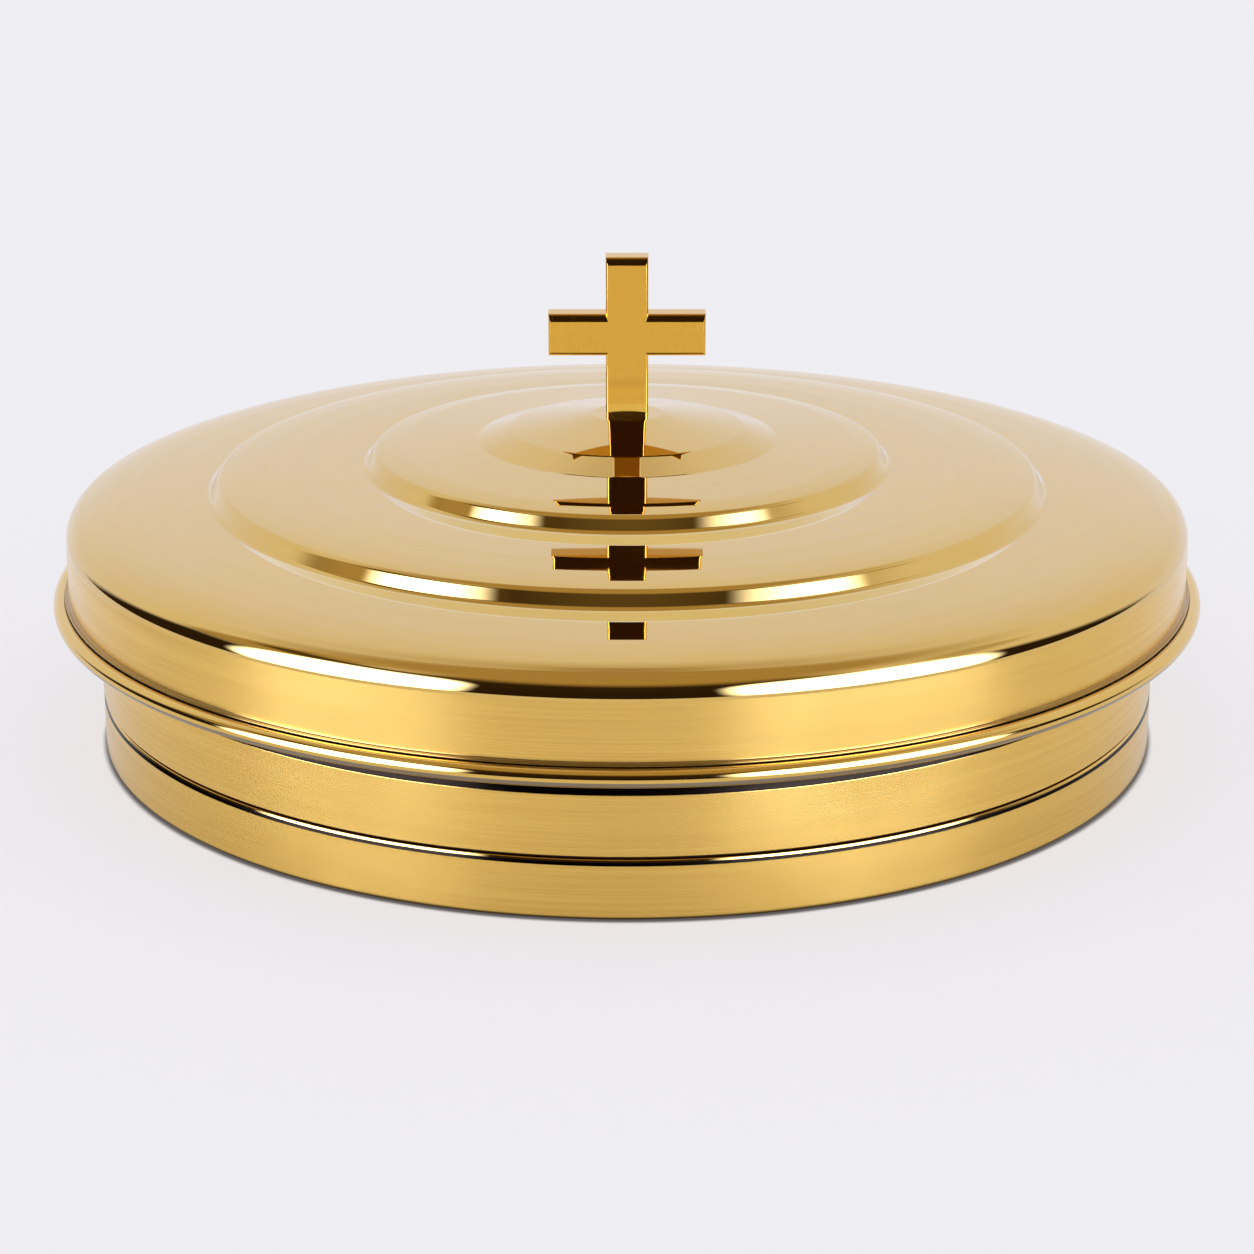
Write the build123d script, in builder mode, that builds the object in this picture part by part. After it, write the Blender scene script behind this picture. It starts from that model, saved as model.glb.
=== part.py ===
from build123d import *
import math
import os

os.makedirs("parts", exist_ok=True)

# A round tray for communion cups: a spun pan, a perforated cup disc and a spun lid with a cross.
# Millimetres, +Z up. The origin is the middle of the face that the pan rests on, and the cross
# faces -Y. Every sheet piece is drawn as the path of one of its faces and given its gauge. Round
# bends are drawn as a few flats that touch the true arc.

# Most that a round bend turns from one flat to the next, in degrees
bend_step = 46.0

# Pan
pan_gauge = 0.6
pan_wall_radius = 143.8
pan_corner_radius = 1.6
pan_height = 42.6
rim_overhang = 12.2
rim_roll_radius = 2.3
rim_roll_flats = 6
rim_roll_step = 45.0
mouth_slope = 27.0
neck_step = 0.7
neck_shoulder = 1.9
neck_length = 2.9

# Groove in the wall, counted from its foot: a steep flank, a nose and a ledge above it. Inside the
# pan the ledge carries the cup disc
groove_height = 14.2
groove_opening = 2.4
groove_depth = 2.1
groove_flank_rise = 1.3
groove_flank_width = 0.6
groove_ledge_rise = 0.5
groove_nose = 0.3

# Cup disc
disc_gauge = 0.8
disc_rim_clearance = 0.4
disc_lip_depth = 2.0
cup_hole_radius = 15.875
inner_ring_radius = 43.5
middle_ring_radius = 82.0
outer_ring_radius = 120.6
inner_ring_cups = 7
middle_ring_cups = 13
outer_ring_cups = 19

# Lid, whose hem sits inside the top of the rim's roll and whose steps are counted inwards from it
lid_gauge = 0.6
hem_inset = 1.08
skirt_height = 19.95
skirt_hem_width = 0.85
shoulder_width = 8.8
shoulder_fall = 2.3
shoulder_bend_radius = 5.0
outer_step_radius = 113.3
outer_step_width = 2.4
outer_step_rise = 3.85
outer_land_fall = 2.15
middle_step_radius = 70.8
middle_step_width = 2.4
middle_step_rise = 3.6
middle_land_fall = 2.4
inner_step_radius = 41.3
inner_step_width = 8.6
inner_step_rise = 2.95
inner_land_fall = 2.4
crown_fall = 4.1
crown_pad_margin = 0.6

# Cross that the lid is lifted by
cross_height = 43.4
cross_span = 42.2
cross_bar_width = 11.4
cross_thickness = 7.5
cross_head_length = 15.4
cross_edge_chamfer = 0.7

# Screw and washers that hold the cross from beneath
screw_radius = 2.0
screw_grip = 9.0
screw_head_radius = 3.9
screw_head_height = 2.6
screw_head_chamfer = 0.7
screw_slot_width = 1.0
screw_slot_depth = 1.2
screw_hole_clearance = 0.4
tapped_hole_clearance = 0.1
tapped_hole_spare = 2.0
washer_radius = 6.5
washer_thickness = 1.0
lock_washer_radius = 3.6
lock_washer_thickness = 0.9
lock_washer_gap = 0.8

# Gap between a loose piece and the curved metal that it rests on
seat_clearance = 0.3


def unit(degrees):
    """Direction at an angle above the horizontal, in the plane of a section."""
    return Vector(math.cos(math.radians(degrees)), math.sin(math.radians(degrees)))


def touching(centre, radius, headings):
    """Corners between flats that touch a circle where it faces each of the headings, in degrees."""
    corners = []
    for first, second in zip(headings, headings[1:]):
        reach = radius / math.cos(math.radians(second - first) / 2)
        corners.append(centre + unit((first + second) / 2) * reach)
    return corners


def bend(before, corner, after, radius):
    """Corners of the flats that stand in for a round bend to the right, and touch its arc."""
    arrival = (Vector(corner) - Vector(before)).normalized()
    departure = (Vector(after) - Vector(corner)).normalized()
    turn = arrival.get_angle(departure)
    inward = (departure - arrival).normalized()
    centre = Vector(corner) + inward * (radius / math.cos(math.radians(turn) / 2))
    middle = math.degrees(math.atan2(-inward.Y, -inward.X))
    flats = math.ceil(turn / bend_step)
    side = math.copysign(turn, arrival.X * departure.Y - arrival.Y * departure.X)
    headings = [middle + side * (n / flats - 0.5) for n in range(flats + 1)]
    return touching(centre, radius, headings)


# Rolled rim: the flared mouth is the first of the flats that touch the roll
rim_radius = pan_wall_radius + rim_overhang
roll_centre = Vector(rim_radius - rim_roll_radius, pan_height - rim_roll_radius)
roll_headings = [mouth_slope + 90] + [90 - rim_roll_step * n for n in range(rim_roll_flats)]
roll_corners = touching(roll_centre, rim_roll_radius - pan_gauge, roll_headings)
mouth_end = roll_corners[0]

# Neck: the wall leans in a little below the mouth
neck_radius = pan_wall_radius - neck_step
mouth_foot = mouth_end - unit(mouth_slope) * ((mouth_end.X - neck_radius) / unit(mouth_slope).X)
neck_foot = mouth_foot.Y - neck_length

# Groove
groove_radius = pan_wall_radius - groove_depth
groove_top = groove_height + groove_opening
ledge_height = groove_top - groove_ledge_rise
ledge_angle = math.atan2(groove_ledge_rise, groove_depth)

floor_centre = (0, 0)
floor_corner = (pan_wall_radius, 0)
groove_foot = (pan_wall_radius, groove_height)
with BuildPart() as tray_pan:
    with BuildSketch(Plane.XZ):
        with BuildLine():
            Polyline(
                floor_centre,
                *bend(floor_centre, floor_corner, groove_foot, pan_corner_radius),
                groove_foot,
                (pan_wall_radius - groove_flank_width, groove_height + groove_flank_rise),
                (groove_radius, ledge_height - groove_nose),
                (groove_radius, ledge_height),
                (pan_wall_radius, groove_top),
                (pan_wall_radius, neck_foot - neck_shoulder),
                (neck_radius, neck_foot),
                mouth_foot,
                *roll_corners,
            )
            offset(amount=pan_gauge, kind=Kind.INTERSECTION, side=Side.LEFT, mode=Mode.ADD)
        make_face()
    revolve(axis=Axis.Z)
tray_pan.part.label = "tray_pan"
export_step(tray_pan.part, "parts/tray_pan.step")

# Cup disc: it drops past the neck and its turned lip rests on the groove's ledge
disc_radius = neck_radius - pan_gauge - disc_rim_clearance
disc_lip_foot = (
    ledge_height
    + (disc_radius - groove_radius) * math.tan(ledge_angle)
    + (pan_gauge + seat_clearance) / math.cos(ledge_angle)
)
disc_top = disc_lip_foot + disc_lip_depth
cup_rings = [
    (inner_ring_radius, inner_ring_cups),
    (middle_ring_radius, middle_ring_cups),
    (outer_ring_radius, outer_ring_cups),
]
with BuildPart() as cup_disc:
    with BuildSketch(Plane.XZ):
        with BuildLine():
            Polyline((0, disc_top), (disc_radius, disc_top), (disc_radius, disc_lip_foot))
            offset(amount=disc_gauge, kind=Kind.INTERSECTION, side=Side.RIGHT, mode=Mode.ADD)
        make_face()
    revolve(axis=Axis.Z)
    with BuildSketch(Plane.XY.offset(disc_top)):
        Circle(cup_hole_radius)
        for ring_radius, ring_cups in cup_rings:
            with PolarLocations(ring_radius, ring_cups, start_angle=90):
                Circle(cup_hole_radius)
    extrude(amount=-disc_gauge, mode=Mode.SUBTRACT)
cup_disc.part.label = "cup_disc"
export_step(cup_disc.part, "parts/cup_disc.step")

# Lid: its turned hem rests on the roll, and the heights build up from there
hem_radius = roll_centre.X - hem_inset
skirt_radius = hem_radius - skirt_hem_width
seat_reach = rim_roll_radius + seat_clearance
lid_foot = roll_centre.Y + math.sqrt(seat_reach**2 - hem_inset**2)
hem_top = lid_foot + lid_gauge
shoulder_low = hem_top + skirt_height
shoulder_high = shoulder_low + shoulder_fall
outer_foot = shoulder_high + outer_land_fall
outer_edge = outer_foot + outer_step_rise
middle_foot = outer_edge + middle_land_fall
middle_edge = middle_foot + middle_step_rise
inner_foot = middle_edge + inner_land_fall
inner_edge = inner_foot + inner_step_rise
crown_height = inner_edge + crown_fall

# The crown's flat pad reaches past the cross's foot above it and the washer below it
cross_foot_reach = math.hypot(cross_bar_width, cross_thickness) / 2
crown_pad_radius = max(cross_foot_reach, washer_radius) + crown_pad_margin

shoulder_edge = (skirt_radius - shoulder_width, shoulder_high)
shoulder_corner = (skirt_radius, shoulder_low)
skirt_foot = (skirt_radius, hem_top)
with BuildPart() as lid_shell:
    with BuildSketch(Plane.XZ):
        with BuildLine():
            Polyline(
                (0, crown_height),
                (crown_pad_radius, crown_height),
                (inner_step_radius - inner_step_width, inner_edge),
                (inner_step_radius, inner_foot),
                (middle_step_radius - middle_step_width, middle_edge),
                (middle_step_radius, middle_foot),
                (outer_step_radius - outer_step_width, outer_edge),
                (outer_step_radius, outer_foot),
                shoulder_edge,
                *bend(shoulder_edge, shoulder_corner, skirt_foot, shoulder_bend_radius),
                skirt_foot,
                (hem_radius, hem_top),
            )
            offset(amount=lid_gauge, kind=Kind.INTERSECTION, side=Side.RIGHT, mode=Mode.ADD)
        make_face()
    revolve(axis=Axis.Z)
    with BuildSketch(Plane.XY.offset(crown_height)):
        Circle(screw_radius + screw_hole_clearance)
    extrude(amount=-lid_gauge, mode=Mode.SUBTRACT)
lid_shell.part.label = "lid_shell"
export_step(lid_shell.part, "parts/lid_shell.step")

# Cross: it stands on the crown's flat pad, and its foot is tapped for the screw
cross_top = crown_height + cross_height
arm_height = cross_top - cross_head_length - cross_bar_width / 2
tapped_radius = screw_radius + tapped_hole_clearance
with BuildPart() as cross_handle:
    with BuildSketch(Plane.XZ):
        with Locations((0, crown_height + cross_height / 2)):
            Rectangle(cross_bar_width, cross_height)
        with Locations((0, arm_height)):
            Rectangle(cross_span, cross_bar_width)
    extrude(amount=cross_thickness / 2, both=True)
    broad_faces = cross_handle.faces().filter_by(Axis.Y).sort_by(Axis.Y)
    rims = (broad_faces[0].edges() + broad_faces[-1].edges()).filter_by(
        lambda edge: edge.center().Z > crown_height + cross_edge_chamfer
    )
    chamfer(rims, length=cross_edge_chamfer)
    with BuildSketch(Plane.XY.offset(crown_height)):
        Circle(tapped_radius)
    extrude(amount=screw_grip + tapped_hole_spare, mode=Mode.SUBTRACT)
cross_handle.part.label = "cross_handle"
export_step(cross_handle.part, "parts/cross_handle.step")

# Washers: the broad one lies flat under the crown, the split one under the screw's head
washer_top = crown_height - lid_gauge
washer_foot = washer_top - washer_thickness
washer_hole = screw_radius + screw_hole_clearance
with BuildPart() as handle_washer:
    with BuildSketch(Plane.XY.offset(washer_foot)):
        Circle(washer_radius)
        Circle(washer_hole, mode=Mode.SUBTRACT)
    extrude(amount=washer_thickness)
handle_washer.part.label = "handle_washer"
export_step(handle_washer.part, "parts/handle_washer.step")

lock_washer_foot = washer_foot - lock_washer_thickness
with BuildPart() as lock_washer:
    with BuildSketch(Plane.XY.offset(lock_washer_foot)):
        Circle(lock_washer_radius)
        Circle(washer_hole, mode=Mode.SUBTRACT)
        with Locations((0, lock_washer_radius)):
            Rectangle(lock_washer_gap, 2 * lock_washer_radius, mode=Mode.SUBTRACT)
    extrude(amount=lock_washer_thickness)
lock_washer.part.label = "lock_washer"
export_step(lock_washer.part, "parts/lock_washer.step")

# Screw: a slotted head below and a shank up into the cross
head_foot = lock_washer_foot - screw_head_height
with BuildPart() as handle_screw:
    with BuildSketch(Plane.XY.offset(head_foot)):
        Circle(screw_head_radius)
    extrude(amount=screw_head_height)
    chamfer(handle_screw.edges().sort_by(Axis.Z)[0], length=screw_head_chamfer)
    with BuildSketch(Plane.XY.offset(lock_washer_foot)):
        Circle(screw_radius)
    extrude(amount=crown_height + screw_grip - lock_washer_foot)
    with BuildSketch(Plane.XY.offset(head_foot)):
        Rectangle(2 * screw_head_radius, screw_slot_width)
    extrude(amount=screw_slot_depth, mode=Mode.SUBTRACT)
handle_screw.part.label = "handle_screw"
export_step(handle_screw.part, "parts/handle_screw.step")
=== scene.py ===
import math

import bpy
import numpy as np
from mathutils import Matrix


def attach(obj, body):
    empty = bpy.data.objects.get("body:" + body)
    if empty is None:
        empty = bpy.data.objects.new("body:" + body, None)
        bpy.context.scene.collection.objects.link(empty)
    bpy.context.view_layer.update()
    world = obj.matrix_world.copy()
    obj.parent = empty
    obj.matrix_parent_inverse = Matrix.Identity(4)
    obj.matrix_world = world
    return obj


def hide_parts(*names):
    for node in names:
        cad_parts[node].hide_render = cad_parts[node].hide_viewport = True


# A round tray for communion cups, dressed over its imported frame: a spun pan with a rolled rim,
# a perforated cup disc, and a stepped lid lifted by a cross. Sizes are written in millimetres.
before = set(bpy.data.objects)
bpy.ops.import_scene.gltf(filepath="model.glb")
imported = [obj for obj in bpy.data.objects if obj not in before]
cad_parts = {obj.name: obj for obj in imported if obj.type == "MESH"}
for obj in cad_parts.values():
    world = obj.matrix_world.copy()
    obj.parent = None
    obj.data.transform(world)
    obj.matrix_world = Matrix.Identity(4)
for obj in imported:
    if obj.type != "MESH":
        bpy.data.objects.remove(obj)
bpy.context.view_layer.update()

MM = 0.001

# Fineness of the turned surfaces, their bends, the rolled rim and the round free edge
ROUND = 256
TURN_STEP = math.radians(5.0)
LEAST_BEND_POINTS = 4
ROLL_POINTS = 42
EDGE_POINTS = 7

# Sheet metal, and the tightest bend that its far face can take
GAUGE = 0.6
TIGHTEST = 0.05

# Pan
WALL = 143.8
NECK = 143.1
NECK_TOP = 33.9
GROOVE = 141.7
GROOVE_FOOT = 14.2
GROOVE_MIDDLE = 15.4
GROOVE_TOP = 16.6
WALL_TOP = 32.0
ROLL = (153.7, 40.3)
ROLL_RADIUS = 2.3
ROLL_TURN = math.radians(280.0)
MOUTH_SLOPE = math.radians(27.0)

# Lid
SKIRT = 151.77
SHOULDER = 62.58
HEM = 152.62
HEM_TOP = 43.265
CROWN = 86.965
SCREW_HOLE = 2.4

# Cross
CROSS_TOP = CROWN + 43.4
CROSS_BAR = 11.4
CROSS_SPAN = 42.2
CROSS_HEAD = 15.4
CROSS_THICKNESS = 7.5

# The rolled-off edge of the cross: a wide arc up to EDGE_TILT, then a tight one, and how much of
# it the edges that face up, down and sideways take
EDGE_ROLL = 3.6
EDGE_TIP = 0.5
EDGE_TILT = math.radians(33.0)
EDGE_ROLL_POINTS = 9
EDGE_TIP_POINTS = 8
TOP_SHARE = 1.0
UNDER_SHARE = 0.45
SIDE_SHARE = 0.3


# Shapes
def run_headings(corners):
    """Heading of each straight run between corners, and the turn at each corner between two runs."""
    runs = np.diff(corners, axis=0)
    headings = np.arctan2(runs[:, 1], runs[:, 0])
    turns = (np.diff(headings) + math.pi) % (2 * math.pi) - math.pi
    return headings, turns


def left_of(headings):
    """Unit vector that points left of each heading h: (-sin h, cos h)."""
    return np.stack([-np.sin(headings), np.cos(headings)], -1)


def rounded_path(corners, radii):
    """Straight runs joined by tangent arcs. The arc at a corner starts radius * tan(turn / 2)
    before it, and its points are centre + radius * normal(heading) with the heading turning
    evenly. Gives the points and the heading at each."""
    headings, turns = run_headings(corners)
    points, angles = [corners[:1]], [headings[:1]]
    for corner, radius, heading, turn in zip(corners[1:-1], radii, headings, turns):
        steps = max(LEAST_BEND_POINTS, math.ceil(abs(turn) / TURN_STEP) + 1)
        angle = heading + turn * np.linspace(0, 1, steps)
        ahead = np.array([math.cos(heading), math.sin(heading)])
        start = corner - radius * math.tan(abs(turn) / 2) * ahead
        signed_radius = math.copysign(radius, turn)
        centre = start + signed_radius * left_of(heading)
        points.append(centre - signed_radius * left_of(angle))
        angles.append(angle)
    points.append(corners[-1:])
    angles.append(headings[-1:])
    return np.concatenate(points), np.concatenate(angles)


def sheet_section(profile, side, roll=None):
    """Outline of a sheet whose one face runs along the profile's corners, given as radius, height
    and bend: out along that face, half a circle round the free edge, and back along the far face.
    Each far corner lies where the two runs meet when moved by the gauge, at corner + gauge *
    (n1 + n2) / (1 + n1.n2), and its bend is larger or smaller by the gauge. roll is a centre, a
    radius and a turn that the sheet ends with. side is 1 where the metal lies left of the path and
    -1 where it lies right. Gives points and normals."""
    profile = np.array(profile, float)
    corners, bends = profile[:, :2], profile[1:-1, 2]
    headings, turns = run_headings(corners)
    across = left_of(headings) * side
    meet = (across[:-1] + across[1:]) / (1 + (across[:-1] * across[1:]).sum(1, keepdims=True))
    moved = corners + GAUGE * np.concatenate([across[:1], meet, across[-1:]])
    far_bends = np.maximum(bends - side * np.sign(turns) * GAUGE, TIGHTEST)
    faces = []
    for line, radii, growth in ((corners, bends, 0.0), (moved, far_bends, GAUGE)):
        points, angles = rounded_path(line, radii)
        if roll:
            centre, radius, turn = roll
            swept = angles[-1] - np.linspace(0, turn, ROLL_POINTS)[1:]
            arc = np.array(centre) + (radius + growth) * left_of(swept)
            points = np.concatenate([points, arc])
            angles = np.concatenate([angles, swept])
        faces.append((points, left_of(angles) * side, angles[-1]))
    (near, near_normals, heading), (far, far_normals, _) = faces
    swing = np.linspace(0, math.pi, EDGE_POINTS)[1:-1, None]
    ahead = np.array([math.cos(heading), math.sin(heading)])
    edge_normals = -near_normals[-1] * np.cos(swing) + ahead * np.sin(swing)
    edge = (near[-1] + far[-1]) / 2 + edge_normals * GAUGE / 2
    outline = np.concatenate([near, edge, far[::-1]])
    return outline, np.concatenate([-near_normals, edge_normals, far_normals[::-1]])


def spin(section):
    """Points (r cos t, r sin t, z) of a section's (r, z) at ROUND even angles t."""
    angle = np.linspace(0, 2 * math.pi, ROUND, endpoint=False)
    radius, height = section[:, 0], section[:, 1:]
    rows = [np.outer(radius, np.cos(angle)), np.outer(radius, np.sin(angle)), np.repeat(height, ROUND, 1)]
    return np.stack(rows, 2).reshape(-1, 3)


def turned(name, outline, normals, side, zone):
    """Surface of revolution: the point (r, z) of the outline goes to (r cos t, r sin t, z) at
    every angle t. An outline that starts and ends on the axis is closed there by fans of
    triangles, and any other closes on itself. zone(r, z) gives the faces' material numbers, and
    side is the side of the path that the metal lies on."""
    on_axis = outline[0, 0] == 0.0
    rings, ring_normals = (outline[1:-1], normals[1:-1]) if on_axis else (outline, normals)
    vertices, directions = spin(rings), spin(ring_normals)
    row = np.arange(len(rings) - 1 if on_axis else len(rings))
    following = (row + 1) % len(rings)
    middle = (rings[row] + rings[following]) / 2
    numbers = np.repeat(zone(middle[:, 0], middle[:, 1]), ROUND)
    here = np.arange(ROUND)
    there = (here + 1) % ROUND
    low, high = (row * ROUND)[:, None], (following * ROUND)[:, None]
    faces = np.stack([low + here, low + there, high + there, high + here], 2).reshape(-1, 4).tolist()
    if on_axis:
        ends = outline[[0, -1]]
        poles = [[0.0, 0.0, height] for height in ends[:, 1]]
        pole_normals = [[0.0, 0.0, up] for up in normals[[0, -1], 1]]
        first, last = len(vertices), len(vertices) + 1
        last_ring = (len(rings) - 1) * ROUND
        faces += np.stack([np.full(ROUND, first), there, here], 1).tolist()
        faces += np.stack([np.full(ROUND, last), last_ring + here, last_ring + there], 1).tolist()
        numbers = np.concatenate([numbers, np.repeat(zone(ends[:, 0], ends[:, 1]), ROUND)])
        vertices = np.concatenate([vertices, poles])
        directions = np.concatenate([directions, pole_normals])
    if side < 0:
        faces = [face[::-1] for face in faces]
    mesh = bpy.data.meshes.new(name)
    mesh.from_pydata(vertices * MM, [], faces)
    mesh.polygons.foreach_set("material_index", numbers.astype(np.int32))
    mesh.shade_smooth()
    mesh.normals_split_custom_set_from_vertices(directions)
    return add_object(name, mesh)


def add_object(name, mesh):
    """Object at the origin that shows a mesh."""
    piece = bpy.data.objects.new(name, mesh)
    bpy.context.scene.collection.objects.link(piece)
    return piece


def between(values, low, high):
    """True where a value lies between two limits."""
    return (values > low) & (values < high)


# Shader nodes, and the Mix node's sockets for its two colours and its result
COLOUR_A, COLOUR_B, COLOUR_RESULT = 6, 7, 2


def maths(tree, operation, *values):
    """Math node fed with numbers or sockets."""
    node = tree.nodes.new("ShaderNodeMath")
    node.operation = operation
    for socket, value in zip(node.inputs, values):
        if isinstance(value, (int, float)):
            socket.default_value = value
        else:
            tree.links.new(value, socket)
    return node.outputs[0]


def rise(tree, value, low, high, floor=0.0, top=1.0):
    """Smooth step from floor at low to top at high."""
    node = tree.nodes.new("ShaderNodeMapRange")
    node.interpolation_type = "SMOOTHSTEP"
    tree.links.new(value, node.inputs["Value"])
    for name, number in (("From Min", low), ("From Max", high), ("To Min", floor), ("To Max", top)):
        node.inputs[name].default_value = number
    return node.outputs["Result"]


def overlap(tree, *masks):
    """Mask of where all the masks hold: their product."""
    result = masks[0]
    for mask in masks[1:]:
        result = maths(tree, "MULTIPLY", result, mask)
    return result


def blend(tree, first, second, share):
    """first * (1 - share) + second * share, of two masks."""
    return maths(tree, "MULTIPLY_ADD", first, 1 - share, maths(tree, "MULTIPLY", second, share))


def from_axis(tree, x, y):
    """Distance from the upright axis: the root of x squared + y squared."""
    return maths(tree, "SQRT", maths(tree, "MULTIPLY_ADD", x, x, maths(tree, "MULTIPLY", y, y)))


def tone(tree, under, over, mask):
    """Colour under where the mask is 0 and over where it is 1."""
    mix = tree.nodes.new("ShaderNodeMix")
    mix.data_type = "RGBA"
    for socket, colour in ((mix.inputs[COLOUR_A], under), (mix.inputs[COLOUR_B], over)):
        if isinstance(colour, tuple):
            socket.default_value = (*colour, 1.0)
        else:
            tree.links.new(colour, socket)
    tree.links.new(mask, mix.inputs[0])
    return mix.outputs[COLOUR_RESULT]


def object_place(tree, coordinates="Object"):
    """The x, y and z of a coordinate system."""
    place = tree.nodes.new("ShaderNodeTexCoord")
    parts = tree.nodes.new("ShaderNodeSeparateXYZ")
    tree.links.new(place.outputs[coordinates], parts.inputs[0])
    return parts.outputs


def new_group(name, inputs, outputs):
    """Shader node group with number sockets, its input node and its output node."""
    group = bpy.data.node_groups.new(name, "ShaderNodeTree")
    for direction, names in (("INPUT", inputs), ("OUTPUT", outputs)):
        for socket in names:
            group.interface.new_socket(name=socket, in_out=direction, socket_type="NodeSocketFloat")
    return group, group.nodes.new("NodeGroupInput"), group.nodes.new("NodeGroupOutput")


def noise_of(tree, place, detail, scale):
    """Noise at a place, with its scale given as a number or a socket."""
    noise = tree.nodes.new("ShaderNodeTexNoise")
    noise.inputs["Detail"].default_value = detail
    if isinstance(scale, float):
        noise.inputs["Scale"].default_value = scale
    else:
        tree.links.new(scale, noise.inputs["Scale"])
    tree.links.new(place, noise.inputs["Vector"])
    return noise.outputs["Fac"]


# Effects that several metals share
GRAIN_DETAIL = 3.0
BROAD_SPACING = 0.12
HAZE_DETAIL = 5.0
HAZE_RANGE = (0.35, 0.7)
HAIR_DETAIL = 2.0
HAIR_RANGE = (0.66, 0.7)
HAIR_TURN = (0.4, 0.7, 1.1)
HAIR_STRETCH = (40.0, 1.5, 40.0)


def spun_grain_group():
    """Fine lines left by turning: noise at (length * cos t, length * sin t, lines * (z + r)), with
    the angle t round the axis, the radius r and the height z. So it is close-packed across the
    lines and long along them, and it follows both the flat and the upright faces."""
    group, given, put = new_group("spun_grain", ("Lines per mm", "Length"), ("Fine", "Broad"))
    lines_per_mm, length = given.outputs[0], given.outputs[1]
    x, y, z = object_place(group)
    radius = from_axis(group, x, y)
    lines_per_metre = maths(group, "MULTIPLY", lines_per_mm, 1 / MM)
    across = maths(group, "MULTIPLY", maths(group, "ADD", z, radius), lines_per_metre)
    for output, spacing in (("Fine", 1.0), ("Broad", BROAD_SPACING)):
        joined = group.nodes.new("ShaderNodeCombineXYZ")
        for socket, part in ((joined.inputs[0], x), (joined.inputs[1], y)):
            group.links.new(maths(group, "MULTIPLY", maths(group, "DIVIDE", part, radius), length), socket)
        group.links.new(maths(group, "MULTIPLY", across, spacing), joined.inputs[2])
        group.links.new(noise_of(group, joined.outputs[0], GRAIN_DETAIL, 1.0), put.inputs[output])
    return group


def handling_group():
    """Faint wear of handling: small cloudy patches and hair scratches, as masks from 0 to 1."""
    group, given, put = new_group("handling_wear", ("Scale",), ("Haze", "Hairlines"))
    place = group.nodes.new("ShaderNodeTexCoord").outputs["Object"]
    haze = noise_of(group, place, HAZE_DETAIL, given.outputs[0])
    group.links.new(rise(group, haze, *HAZE_RANGE), put.inputs["Haze"])
    stretch = group.nodes.new("ShaderNodeMapping")
    stretch.inputs["Rotation"].default_value = HAIR_TURN
    stretch.inputs["Scale"].default_value = HAIR_STRETCH
    group.links.new(place, stretch.inputs["Vector"])
    hairs = noise_of(group, stretch.outputs[0], HAIR_DETAIL, given.outputs[0])
    group.links.new(rise(group, hairs, *HAIR_RANGE), put.inputs["Hairlines"])
    return group


SPUN_GRAIN = spun_grain_group()
HANDLING = handling_group()


# Metals
WEAR_SCALE = 22.0
GRAIN_SHARE = 0.65
HAIRLINE_SHARE = 0.06
BROAD_STREAKS = 0.4
STREAK_RANGE = (0.3, 0.7)
WEAR_RANGE = (0.2, 0.9)
QUARTER_TURN = 0.25


def new_material(name):
    """Material with its node tree and its shader."""
    material = bpy.data.materials.new(name)
    material.use_nodes = True
    shader = material.node_tree.nodes["Principled BSDF"]
    return material, material.node_tree, shader


def metal(name, tones, roughness, lines_per_mm, line_length, line_height, stretch=0.0, lacquer=0.2):
    """Gold-toned or plain metal under a clear lacquer. Its colour goes from the first tone to the
    second with the turning lines, its roughness from the first value to the second with the lines
    and the wear of handling, and its lines stand line_height mm deep. stretch draws reflections
    out across the lines."""
    material, tree, shader = new_material(name)
    polish, dull = roughness
    grain = tree.nodes.new("ShaderNodeGroup")
    grain.node_tree = SPUN_GRAIN
    grain.inputs["Lines per mm"].default_value = lines_per_mm
    grain.inputs["Length"].default_value = line_length
    wear = tree.nodes.new("ShaderNodeGroup")
    wear.node_tree = HANDLING
    wear.inputs["Scale"].default_value = WEAR_SCALE
    fine, broad = grain.outputs["Fine"], grain.outputs["Broad"]
    streaks = rise(tree, blend(tree, fine, broad, BROAD_STREAKS), *STREAK_RANGE)
    hairlines = maths(tree, "MULTIPLY", wear.outputs["Hairlines"], HAIRLINE_SHARE)
    worn = maths(tree, "ADD", blend(tree, wear.outputs["Haze"], fine, GRAIN_SHARE), hairlines)
    tree.links.new(tone(tree, *tones, streaks), shader.inputs["Base Color"])
    tree.links.new(rise(tree, worn, *WEAR_RANGE, polish, dull), shader.inputs["Roughness"])
    shader.inputs["Metallic"].default_value = 1.0
    shader.inputs["Coat Weight"].default_value = lacquer
    shader.inputs["Coat Roughness"].default_value = polish
    if stretch:
        shader.inputs["Anisotropic"].default_value = stretch
        shader.inputs["Anisotropic Rotation"].default_value = QUARTER_TURN
    bump = tree.nodes.new("ShaderNodeBump")
    bump.inputs["Distance"].default_value = line_height * MM
    tree.links.new(fine, bump.inputs["Height"])
    tree.links.new(bump.outputs[0], shader.inputs["Normal"])
    return material


GOLD = (0.77, 0.50, 0.118)
GOLD_DEEP = (0.75, 0.475, 0.105)

# Polished top of the lid
mirror_gold = metal(
    "mirror_gold",
    tones=(GOLD, GOLD_DEEP),
    roughness=(0.015, 0.04),
    lines_per_mm=3.0,
    line_length=9.0,
    line_height=0.00003,
    lacquer=0.35,
)
# Finely brushed skirt and wall
brushed_gold = metal(
    "brushed_gold",
    tones=((0.84, 0.54, 0.128), (0.76, 0.47, 0.10)),
    roughness=(0.20, 0.28),
    lines_per_mm=2.5,
    line_length=1.2,
    line_height=0.0012,
    stretch=0.75,
)
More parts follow.
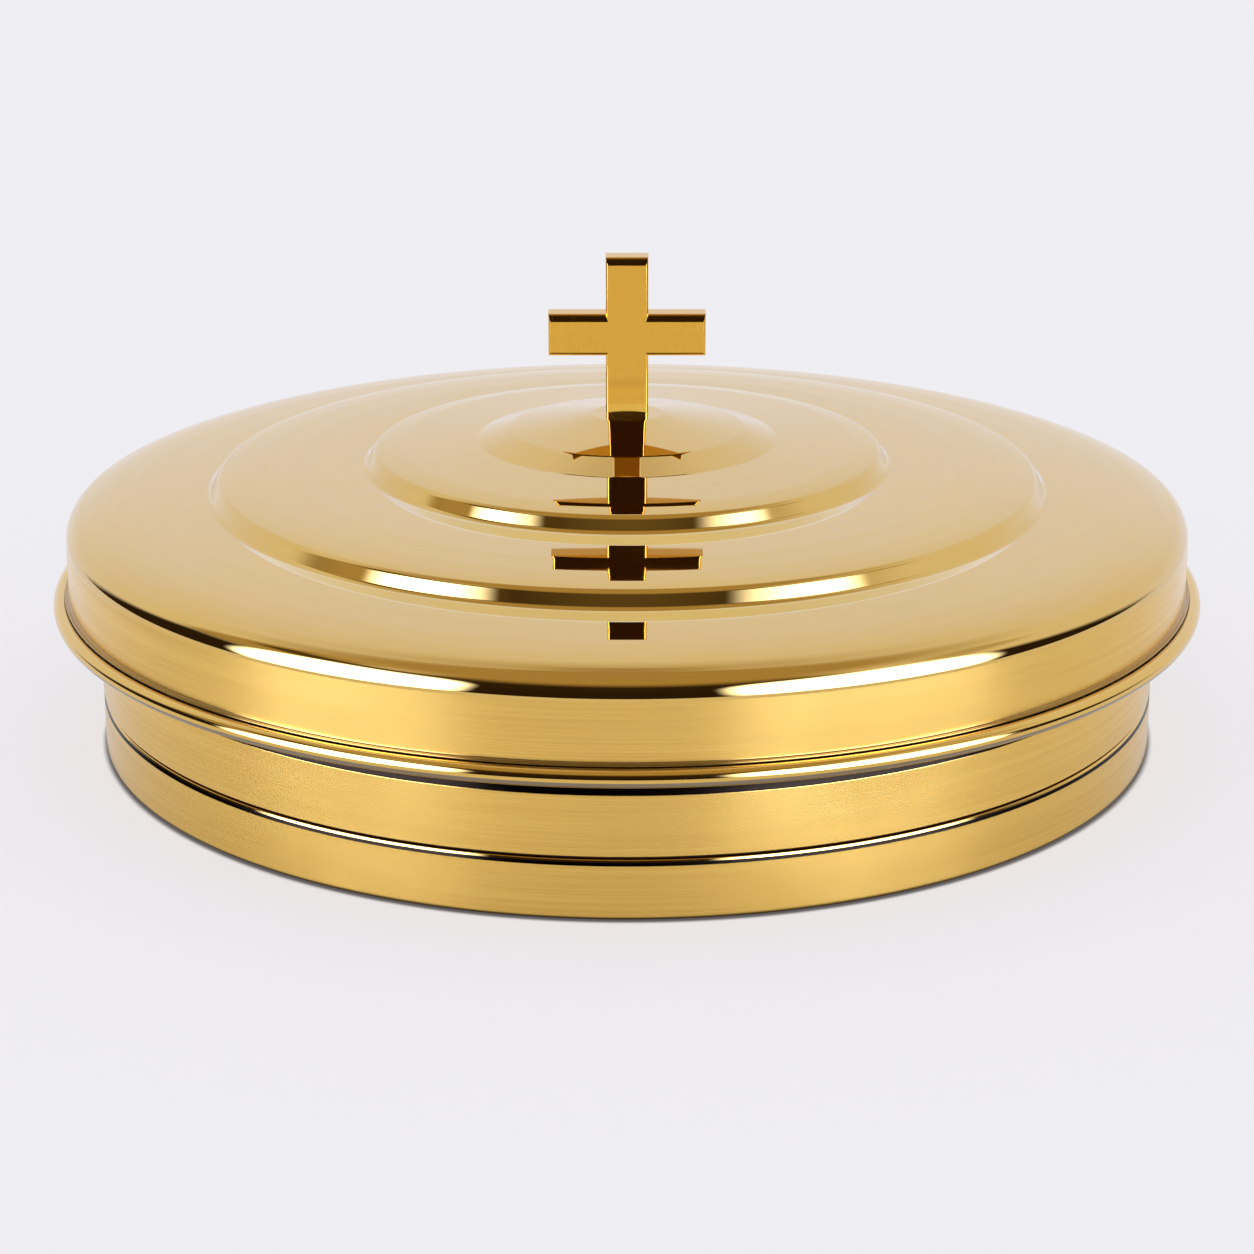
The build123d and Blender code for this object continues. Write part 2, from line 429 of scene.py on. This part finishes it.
# Bright rolled rim
rolled_gold = metal(
    "rolled_gold",
    tones=(GOLD, GOLD_DEEP),
    roughness=(0.04, 0.09),
    lines_per_mm=4.0,
    line_length=7.0,
    line_height=0.0002,
    stretch=0.3,
    lacquer=0.35,
)
# Satin inside of the pan, and the disc
satin_gold = metal(
    "satin_gold",
    tones=(GOLD, GOLD_DEEP),
    roughness=(0.22, 0.36),
    lines_per_mm=4.0,
    line_length=7.0,
    line_height=0.001,
    stretch=0.4,
)
# Cast and polished cross
cast_gold = metal(
    "cast_gold",
    tones=((0.79, 0.44, 0.06), (0.76, 0.41, 0.05)),
    roughness=(0.06, 0.12),
    lines_per_mm=0.6,
    line_length=40.0,
    line_height=0.0004,
    lacquer=0.1,
)
# Darker gold: painted shade in the crease under the hem, where it also stands for some dirt, and painted
# shade in the bend at the foot next to the table
shade_and_dirt_gold = metal(
    "shade_and_dirt_gold",
    tones=((0.42, 0.26, 0.06), (0.36, 0.21, 0.045)),
    roughness=(0.05, 0.10),
    lines_per_mm=3.0,
    line_length=5.0,
    line_height=0.0002,
)
# Nearly black painted shade in the corners at the neck under the rim and at the groove
painted_recess_shade = metal(
    "painted_recess_shade",
    tones=((0.010, 0.007, 0.004), (0.008, 0.005, 0.003)),
    roughness=(0.14, 0.26),
    lines_per_mm=3.0,
    line_length=5.0,
    line_height=0.0002,
    lacquer=0.0,
)
# Greyish painted shade on the bottom of the groove and on the underside of the rim
painted_grey_shade = metal(
    "painted_grey_shade",
    tones=((0.30, 0.24, 0.16), (0.26, 0.20, 0.13)),
    roughness=(0.05, 0.10),
    lines_per_mm=3.0,
    line_length=5.0,
    line_height=0.0002,
)
# Plain steel of the screw and the washers
bright_steel = metal(
    "bright_steel",
    tones=((0.56, 0.55, 0.53), (0.50, 0.49, 0.47)),
    roughness=(0.18, 0.36),
    lines_per_mm=6.0,
    line_length=12.0,
    line_height=0.001,
    stretch=0.2,
    lacquer=0.0,
)

# Lid. Its profile runs from the screw hole over three steps and the shoulder down to the hem, as
# the radius, the height and the bend at each corner.
LID_PROFILE = [
    # Flat seat of the cross, round the screw hole
    (SCREW_HOLE, CROWN, 0),
    (9.5, CROWN, 5),
    # Crown
    (24.0, 84.55, 100),
    (31.5, 83.2, 8),
    (40.6, 80.13, 3),
    # Inner ring and its riser
    (62.0, 78.97, 40),
    (66.0, 78.41, 20),
    (68.4, 77.97, 2.2),
    (70.97, 73.9, 1.9),
    # Middle ring and its riser
    (80.0, 73.85, 80),
    (91.0, 73.64, 80),
    (101.0, 73.15, 80),
    (107.0, 72.57, 40),
    (110.6, 71.93, 2.3),
    (113.3, 67.65, 1.9),
    # Outer ring and shoulder
    (124.0, 67.2, 80),
    (134.0, 66.6, 80),
    (140.5, 65.86, 40),
    (144.6, 65.06, 25),
    (SKIRT, SHOULDER, 6.1),
    # Skirt and hem
    (SKIRT, HEM_TOP, 0.35),
    (HEM, HEM_TOP, 0),
]
SKIRT_INSIDE = SKIRT - 0.9
SKIRT_OUTSIDE = SKIRT + 0.1
HEM_LINE = HEM_TOP + 0.3
BRUSHED_UP_TO = 58.4
POLISHED_TOP, BRUSHED_SKIRT, SHADE_AND_DIRT_HEM = range(3)


def lid_zone(radius, height):
    """The brushed skirt up to the shoulder, the hem at its foot with its painted shade and dirt, and the
    polished top elsewhere.
    """
    # The hem takes the darker gold: painted shade, with some dirt, in its crease
    hem = (radius > SKIRT_INSIDE) & (height < HEM_LINE)
    skirt = between(radius, SKIRT_INSIDE, SKIRT_OUTSIDE) & between(height, HEM_LINE, BRUSHED_UP_TO)
    return np.select([skirt, hem], [BRUSHED_SKIRT, SHADE_AND_DIRT_HEM], POLISHED_TOP)


lid = turned("lid", *sheet_section(LID_PROFILE, -1), -1, lid_zone)
for material in (mirror_gold, brushed_gold, shade_and_dirt_gold):
    lid.data.materials.append(material)
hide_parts("lid_shell")
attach(lid, "lid")

# Pan. Its profile runs from the middle of the floor up the wall and its groove to the mouth.
roll_path = ROLL_RADIUS - GAUGE
mouth_end = (ROLL[0] - roll_path * math.sin(MOUTH_SLOPE), ROLL[1] + roll_path * math.cos(MOUTH_SLOPE))
mouth_foot_height = mouth_end[1] - (mouth_end[0] - NECK) * math.tan(MOUTH_SLOPE)
PAN_PROFILE = [
    # Floor and rounded foot
    (0.0, 0.0, 0),
    (WALL, 0.0, 1.6),
    # Lower band and the groove above it
    (WALL, GROOVE_FOOT, 0.3),
    (143.454, 14.95, 0.05),
    (143.2, 15.5, 0.3),
    (GROOVE, 15.8, 0.08),
    (GROOVE, 16.1, 0.08),
    (WALL, GROOVE_TOP, 0.2),
    # Upper band, neck and flared mouth
    (WALL, WALL_TOP, 0.4),
    (NECK, NECK_TOP, 0.3),
    (NECK, mouth_foot_height, 3.0),
    (*mouth_end, 0),
]

# Limits of the pan's finishes and of its painted shade
GROOVE_REACH = 1.5
FOOT_RADIUS, FOOT_HEIGHT = 142.75, 0.76
FLOOR_TOP, INSIDE_TOP = 0.3, 33.5
INSIDE_WALL = WALL - 0.45
INSIDE_LEDGE = GROOVE - 0.4
WALL_BAND = (WALL - 0.15, WALL + 0.1)
WALL_FOOT = 1.3
BRUSHED_TOP = WALL_TOP + 0.2
GROOVE_BOTTOM_DEPTH = (WALL - 2.3, WALL - 0.9)
GROOVE_BOTTOM_HEIGHT = (15.6, 16.3)
UNDER_RIM_RADIUS, UNDER_RIM_HEIGHT = 154.5, ROLL[1] - 0.4
NECK_CORNER_TOP, NECK_CORNER_RADIUS = 36.0, 148.5
GROOVE_CORNER_FOOT, GROOVE_CORNER_TOP = GROOVE_FOOT - 0.2, 14.94
GROOVE_CORNER_RADIUS = 143.3
OUTSIDE_NECK = NECK - 0.3
BRIGHT_RIM, BRUSHED_WALL, SATIN_INSIDE, PAINTED_SHADE_FOOT, GREY_PAINTED_SHADE, BLACK_PAINTED_SHADE = range(6)


def pan_zone(radius, height):
    """The brushed wall, the satin inside, painted shade in the bend at the foot, grey painted shade on
    the bottom of the groove and under the rim, black painted shade in the recesses, and the bright
    rim and underside elsewhere."""
    at_groove = np.abs(height - GROOVE_MIDDLE) < GROOVE_REACH
    away_from_groove = np.abs(height - GROOVE_MIDDLE) > GROOVE_REACH
    wall = between(radius, *WALL_BAND) & between(height, WALL_FOOT, BRUSHED_TOP)
    inside = between(height, FLOOR_TOP, INSIDE_TOP) & (radius < INSIDE_WALL)
    inside &= (radius < INSIDE_LEDGE) | away_from_groove
    # Painted shade in the bend at the foot next to the table
    foot = (radius > FOOT_RADIUS) & (height < FOOT_HEIGHT)
    # Grey painted shade on the bottom of the groove and under the rim
    groove_bottom = between(radius, *GROOVE_BOTTOM_DEPTH) & between(height, *GROOVE_BOTTOM_HEIGHT)
    under_rim = (radius > UNDER_RIM_RADIUS) & (height < UNDER_RIM_HEIGHT)
    # Black painted shade in the corners at the neck under the rim and at the foot of the groove
    neck_corner = between(height, BRUSHED_TOP, NECK_CORNER_TOP) & (radius < NECK_CORNER_RADIUS)
    groove_corner = between(height, GROOVE_CORNER_FOOT, GROOVE_CORNER_TOP) & (radius > GROOVE_CORNER_RADIUS)
    outside = at_groove | (radius > OUTSIDE_NECK)
    recess_shade = (neck_corner | groove_corner) & outside & ~inside
    places = [recess_shade, foot, inside, wall, groove_bottom | under_rim]
    return np.select(places, [BLACK_PAINTED_SHADE, PAINTED_SHADE_FOOT, SATIN_INSIDE, BRUSHED_WALL, GREY_PAINTED_SHADE], BRIGHT_RIM)


pan = turned("pan", *sheet_section(PAN_PROFILE, 1, (ROLL, roll_path, ROLL_TURN)), 1, pan_zone)
for material in (rolled_gold, brushed_gold, satin_gold, shade_and_dirt_gold, painted_grey_shade, painted_recess_shade):
    pan.data.materials.append(material)
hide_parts("tray_pan")
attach(pan, "tray")


# Cross
def cross_outline():
    """The twelve corners of the cross, round from its foot on the right, and each run's outward side."""
    half_bar, half_span = CROSS_BAR / 2, CROSS_SPAN / 2
    arm_top = CROSS_TOP - CROSS_HEAD
    arm_foot = arm_top - CROSS_BAR
    foot, top = (half_bar, CROWN), (half_bar, CROSS_TOP)
    arm = [(half_bar, arm_foot), (half_span, arm_foot), (half_span, arm_top), (half_bar, arm_top)]
    right = [foot, *arm, top]
    outline = np.array([*right, *[(-x, z) for x, z in reversed(right)]])
    runs = np.roll(outline, -1, 0) - outline
    outward = np.stack([runs[:, 1], -runs[:, 0]], 1) / np.linalg.norm(runs, axis=1)[:, None]
    return outline, outward


def edge_roll():
    """Half of the rolled-off edge, from the broad face to the middle of the side: how far each ring
    has come in and sunk, and its angle a from the face. It is EDGE_ROLL (sin A - sin a) + EDGE_TIP
    (1 - sin A) and EDGE_ROLL (1 - cos a) up to the tilt A, then EDGE_TIP (1 - sin a) and EDGE_ROLL
    (1 - cos A) + EDGE_TIP (cos A - cos a)."""
    roll = np.linspace(0, EDGE_TILT, EDGE_ROLL_POINTS)
    tip = np.linspace(EDGE_TILT, math.pi / 2, EDGE_TIP_POINTS)[1:]
    sine, cosine = math.sin(EDGE_TILT), math.cos(EDGE_TILT)
    roll_inset = EDGE_ROLL * (sine - np.sin(roll)) + EDGE_TIP * (1 - sine)
    tip_inset = EDGE_TIP * (1 - np.sin(tip))
    roll_sunk = EDGE_ROLL * (1 - np.cos(roll))
    tip_sunk = EDGE_ROLL * (1 - cosine) + EDGE_TIP * (cosine - np.cos(tip))
    inset = np.concatenate([roll_inset, tip_inset])
    return inset, np.concatenate([roll_sunk, tip_sunk]), np.concatenate([roll, tip])


def cast_cross(name):
    """Cross whose broad faces roll off to its sides. Each ring is the outline moved in by its share
    of the inset, mitred at its corners, at the depth of the ring. A smaller share tilts an edge's
    normals by atan(tan a / share)."""
    outline, outward = cross_outline()
    corners = len(outline)
    under_or_side = np.where(outward[:, 1] < -0.5, UNDER_SHARE, SIDE_SHARE)
    share = np.where(outward[:, 1] > 0.5, TOP_SHARE, under_or_side)
    step = -outward * share[:, None]
    inward = step + np.roll(step, 1, 0)
    inward[[0, -1], 1] = 0.0
    half_inset, sunk, angle = edge_roll()
    inset = np.concatenate([half_inset, half_inset[::-1]])
    depth = np.concatenate([sunk - CROSS_THICKNESS / 2, CROSS_THICKNESS / 2 - sunk[::-1]])
    facing = np.concatenate([-np.cos(angle), np.cos(angle[::-1])])
    aside = np.concatenate([np.sin(angle), np.sin(angle[::-1])])
    levels = len(depth)
    vertices = np.zeros((levels, corners, 3))
    vertices[:, :, [0, 2]] = outline + inset[:, None, None] * inward
    vertices[:, :, 1] = depth[:, None]

    here = np.arange(corners)
    there = (here + 1) % corners
    low = (np.arange(levels - 1) * corners)[:, None]
    high = low + corners
    sides = np.stack([low + here, high + here, high + there, low + there], 2).reshape(-1, 4)
    front, back = here, (levels - 1) * corners + here[::-1]
    faces = [front.tolist(), back.tolist(), *sides.tolist()]

    level = np.arange(levels - 1)
    edge = np.stack([level, level + 1, level + 1, level], 1)[:, None, :]
    out_x, out_z, run_share = outward[:, 0, None], outward[:, 1, None], share[:, None]
    tilted = np.stack([out_x * aside[edge], run_share * facing[edge], out_z * aside[edge]], 3)
    tilted /= np.linalg.norm(tilted, axis=3, keepdims=True)
    tilted[:, -1] = (0.0, 0.0, -1.0)
    broad = [np.tile([0.0, facing_y, 0.0], (corners, 1)) for facing_y in (-1.0, 1.0)]
    mesh = bpy.data.meshes.new(name)
    mesh.from_pydata(vertices.reshape(-1, 3) * MM, [], faces)
    mesh.shade_smooth()
    mesh.normals_split_custom_set(np.concatenate([*broad, tilted.reshape(-1, 3)]))
    return add_object(name, mesh)


cross = cast_cross("cross")
cross.data.materials.append(cast_gold)
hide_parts("cross_handle")
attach(cross, "lid")

# Pieces that keep the mesh of their solid
for node, material in (
    ("cup_disc", satin_gold),
    ("handle_washer", bright_steel),
    ("lock_washer", bright_steel),
    ("handle_screw", bright_steel),
):
    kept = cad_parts[node]
    kept.data.materials.clear()
    kept.data.materials.append(material)

# Table top, in metres: pale paper that gives part of its light itself, to the camera and to
# mirrors, and carries a painted contact shadow, dark under the pan up to a thin line at its foot
PAPER = (0.862, 0.854, 0.894)
PAPER_LIT = 0.72
PAPER_MIRRORED = 0.42
# Painted contact shadow on the table: its dark tone, its share, and the radii in metres where it begins and
# where it is full
CONTACT_SHADOW_PAINT = (0.06, 0.035, 0.02)
CONTACT_SHADOW_SHARE = 0.85
CONTACT_SHADOW_FROM, CONTACT_SHADOW_TO = 0.1454, 0.1434
TABLE_CORNERS = [(-0.4, -0.7, 0), (0.4, -0.7, 0), (0.9, 2.6, 0), (-0.9, 2.6, 0)]


def paper_material():
    """Paper: a dull surface mixed with its own light, and with a painted contact shadow under the pan."""
    material, tree, shader = new_material("paper")
    shader.inputs["Base Color"].default_value = (*PAPER, 1.0)
    shader.inputs["Roughness"].default_value = 0.9
    shader.inputs["Specular IOR Level"].default_value = 0.0
    light_path = tree.nodes.new("ShaderNodeLightPath")
    seen = maths(tree, "MULTIPLY", light_path.outputs["Is Camera Ray"], PAPER_LIT)
    own_light = maths(tree, "MULTIPLY_ADD", light_path.outputs["Is Glossy Ray"], PAPER_MIRRORED, seen)
    lit = tree.nodes.new("ShaderNodeEmission")
    lit.inputs["Color"].default_value = (*PAPER, 1.0)
    painted_shadow = tree.nodes.new("ShaderNodeBsdfDiffuse")
    painted_shadow.inputs["Color"].default_value = (*CONTACT_SHADOW_PAINT, 1.0)
    x, y, _ = object_place(tree)
    # Painted contact shadow: full under the pan, fading out just past its foot
    painted_shadow_mask = rise(tree, from_axis(tree, x, y), CONTACT_SHADOW_FROM, CONTACT_SHADOW_TO, 0.0, CONTACT_SHADOW_SHARE)
    paper = shader.outputs[0]
    for share, over in ((own_light, lit), (painted_shadow_mask, painted_shadow)):
        mix = tree.nodes.new("ShaderNodeMixShader")
        tree.links.new(share, mix.inputs[0])
        tree.links.new(paper, mix.inputs[1])
        tree.links.new(over.outputs[0], mix.inputs[2])
        paper = mix.outputs[0]
    tree.links.new(paper, tree.nodes["Material Output"].inputs["Surface"])
    return material


table_mesh = bpy.data.meshes.new("table_top")
table_mesh.from_pydata(TABLE_CORNERS, [], [(0, 1, 2, 3)])
table_mesh.materials.append(paper_material())
table = add_object("table_top", table_mesh)

# Studio. Directions are an azimuth from the front (-Y) towards the right (+X) and an elevation,
# in degrees, and aside is the azimuth without its sign. A range is where a mask is 0 and where it
# is 1. A panel is its left and right azimuth, its low and high elevation and its softness.
BACKDROP = (0.89, 0.895, 0.96)
CEILING = (0.50, 0.385, 0.20)
CEILING_RANGE = (42.0, 68.0)
CEILING_EDGE = (0.36, 0.25, 0.10)
CEILING_EDGE_RANGE = (50.0, 68.0)
BEHIND_ASIDE, BEHIND_HEIGHT = (152.0, 172.0), (56.0, 58.5)
OVER_FRONT_ASIDE, OVER_FRONT_HEIGHT = (64.0, 40.0), (24.0, 44.0)
DARK_FRONT = (0.036, 0.022, 0.012)
FRONT_ASIDE, FRONT_HEIGHT = (60.0, 36.0), (63.0, 40.0)
LEFT_WALL = (0.50, 0.40, 0.23)
LEFT_WALL_PANEL = (-103.0, -72.0, 24.0, 58.0, 4.0)
RIGHT_WALL = (0.62, 0.56, 0.45)
RIGHT_WALL_PANEL = (74.0, 98.0, 34.0, 50.0, 5.0)
DARK_STRIP = (0.10, 0.07, 0.03)
DARK_STRIP_PANEL = (-95.0, -37.0, 40.0, 50.0, 3.0)

# Darkness under a line that falls to both sides: the slope and the height of its left and right
# halves, its highest point and how far above and below it the darkness fades
DARK_SIDES = (0.028, 0.018, 0.010)
LEFT_LINE = (0.82, 103.4)
RIGHT_LINE = (-0.62, 70.0)
LINE_TOP = 24.0
LINE_FADE = 6.0

# Soft boxes: their middle azimuth, half width and half height, the elevation of their middle, and
# how far out their light ends and is full, where 1 is the edge
SOFT_BOX = (8.0, 9.0, 14.0)
LEFT_BOX = (-56.5, 22.5, 26.0)
RIGHT_BOX = (47.5, 25.0, 26.5)
BOX_MIDDLE = 13.5
BOX_FADE = (1.9, 0.3)

# Light that reflections of reflections find. A ray's depth reads 2 in the first reflection, 3 in
# the second and 4 in the third.
SECOND_DEPTH = (2.2, 2.6)
THIRD_DEPTH = (3.2, 3.6)
AGAIN_FRONT = (1.02, 1.2, 1.7)
AGAIN_FRONT_HEIGHT, AGAIN_FRONT_ASIDE = (13.5, 12.0), (60.0, 50.0)
AGAIN_ABOVE = (1.15, 1.6, 3.2)
AGAIN_ABOVE_RANGE = (68.0, 80.0)
ASIDE_COUNTS = 0.3
THIRD_TIME = (0.95, 1.3, 2.4)

world = bpy.data.worlds.new("studio")
bpy.context.scene.world = world
world.use_nodes = True
sky = world.node_tree
sky.nodes.clear()
x, y, z = object_place(sky, "Generated")
elevation = maths(sky, "DEGREES", maths(sky, "ARCSINE", z))
azimuth = maths(sky, "DEGREES", maths(sky, "ARCTAN2", x, maths(sky, "MULTIPLY", y, -1.0)))
aside = maths(sky, "ABSOLUTE", azimuth)
path = sky.nodes.new("ShaderNodeLightPath")


def panel(left, right, low, high, soft):
    """Mask of a soft-edged panel between two azimuths and two elevations."""
    return overlap(
        sky,
        rise(sky, azimuth, left - soft, left + soft),
        rise(sky, azimuth, right + soft, right - soft),
        rise(sky, elevation, low - soft, low + soft),
        rise(sky, elevation, high + soft, high - soft),
    )


def share_cubed(value, middle, half):
    """Distance from the middle over the half size, cubed."""
    offset = maths(sky, "DIVIDE", maths(sky, "SUBTRACT", value, middle), half)
    return maths(sky, "POWER", maths(sky, "ABSOLUTE", offset), 3.0)


def soft_box(middle, half_width, half_height):
    """Mask of a soft box with rounded corners: |u| cubed + |v| cubed is 1 on its edge, where u and v
    are the azimuth and the elevation from its middle over its half width and half height."""
    across = share_cubed(azimuth, middle, half_width)
    upward = share_cubed(elevation, BOX_MIDDLE, half_height)
    return rise(sky, maths(sky, "ADD", across, upward), *BOX_FADE)


def backdrop():
    """Pale backdrop that turns into the warm ceiling, which is darker at its edge behind the tray."""
    overhead = tone(sky, BACKDROP, CEILING, rise(sky, elevation, *CEILING_RANGE))
    ceiling = tone(sky, CEILING_EDGE, CEILING, rise(sky, elevation, *CEILING_EDGE_RANGE))
    behind = overlap(sky, rise(sky, aside, *BEHIND_ASIDE), rise(sky, elevation, *BEHIND_HEIGHT))
    return tone(sky, overhead, ceiling, behind)


def walls(colour):
    """The warm walls on both sides, and the ceiling's colour where it comes down over the front."""
    colour = tone(sky, colour, LEFT_WALL, panel(*LEFT_WALL_PANEL))
    colour = tone(sky, colour, RIGHT_WALL, panel(*RIGHT_WALL_PANEL))
    over_front = overlap(sky, rise(sky, aside, *OVER_FRONT_ASIDE), rise(sky, elevation, *OVER_FRONT_HEIGHT))
    return tone(sky, colour, CEILING, over_front)


def dark_room(colour):
    """The dark room behind the camera, the darkness under a line that falls to both sides, and a
    dark strip over the left soft box."""
    front = overlap(sky, rise(sky, aside, *FRONT_ASIDE), rise(sky, elevation, *FRONT_HEIGHT))
    colour = tone(sky, colour, DARK_FRONT, front)
    left_line = maths(sky, "MULTIPLY_ADD", azimuth, *LEFT_LINE)
    right_line = maths(sky, "MULTIPLY_ADD", azimuth, *RIGHT_LINE)
    line = maths(sky, "MINIMUM", maths(sky, "MINIMUM", left_line, right_line), LINE_TOP)
    under_line = rise(sky, maths(sky, "SUBTRACT", elevation, line), LINE_FADE, -LINE_FADE)
    colour = tone(sky, colour, DARK_SIDES, under_line)
    return tone(sky, colour, DARK_STRIP, panel(*DARK_STRIP_PANEL))


def later_reflections(colour):
    """Light that second and later reflections find low in the front and high above, and that third
    and later ones find everywhere."""
    depth = path.outputs["Ray Depth"]
    again = rise(sky, depth, *SECOND_DEPTH)
    low, near_front = rise(sky, elevation, *AGAIN_FRONT_HEIGHT), rise(sky, aside, *AGAIN_FRONT_ASIDE)
    colour = tone(sky, colour, AGAIN_FRONT, overlap(sky, again, low, near_front))
    overhead = rise(sky, maths(sky, "MULTIPLY_ADD", aside, ASIDE_COUNTS, elevation), *AGAIN_ABOVE_RANGE)
    colour = tone(sky, colour, AGAIN_ABOVE, overlap(sky, again, overhead))
    return tone(sky, colour, THIRD_TIME, rise(sky, depth, *THIRD_DEPTH))


mirrored = dark_room(walls(backdrop()))
mirrored = tone(sky, mirrored, SOFT_BOX, soft_box(*LEFT_BOX))
mirrored = tone(sky, mirrored, SOFT_BOX, soft_box(*RIGHT_BOX))
mirrored = later_reflections(mirrored)
seen = tone(sky, (1.0, 1.0, 1.0), PAPER, path.outputs["Is Camera Ray"])
shown = tone(sky, seen, mirrored, path.outputs["Is Glossy Ray"])
glow = sky.nodes.new("ShaderNodeBackground")
sky.links.new(shown, glow.inputs["Color"])
world.cycles.sampling_method = "NONE"
out = sky.nodes.new("ShaderNodeOutputWorld")
sky.links.new(glow.outputs[0], out.inputs["Surface"])

# Camera, in metres, with its lens and sensor in millimetres
CAMERA_PLACE = (0.0, -0.84489, 0.30865)
CAMERA_TILT = math.radians(71.48)
LENS = 92.25
SENSOR = 36.0
camera_data = bpy.data.cameras.new("camera")
camera_data.lens = LENS
camera_data.sensor_width = SENSOR
camera = bpy.data.objects.new("camera", camera_data)
camera.location = CAMERA_PLACE
camera.rotation_euler = (CAMERA_TILT, 0.0, 0.0)
bpy.context.scene.collection.objects.link(camera)
bpy.context.scene.camera = camera
bpy.context.scene.view_settings.view_transform = "Standard"
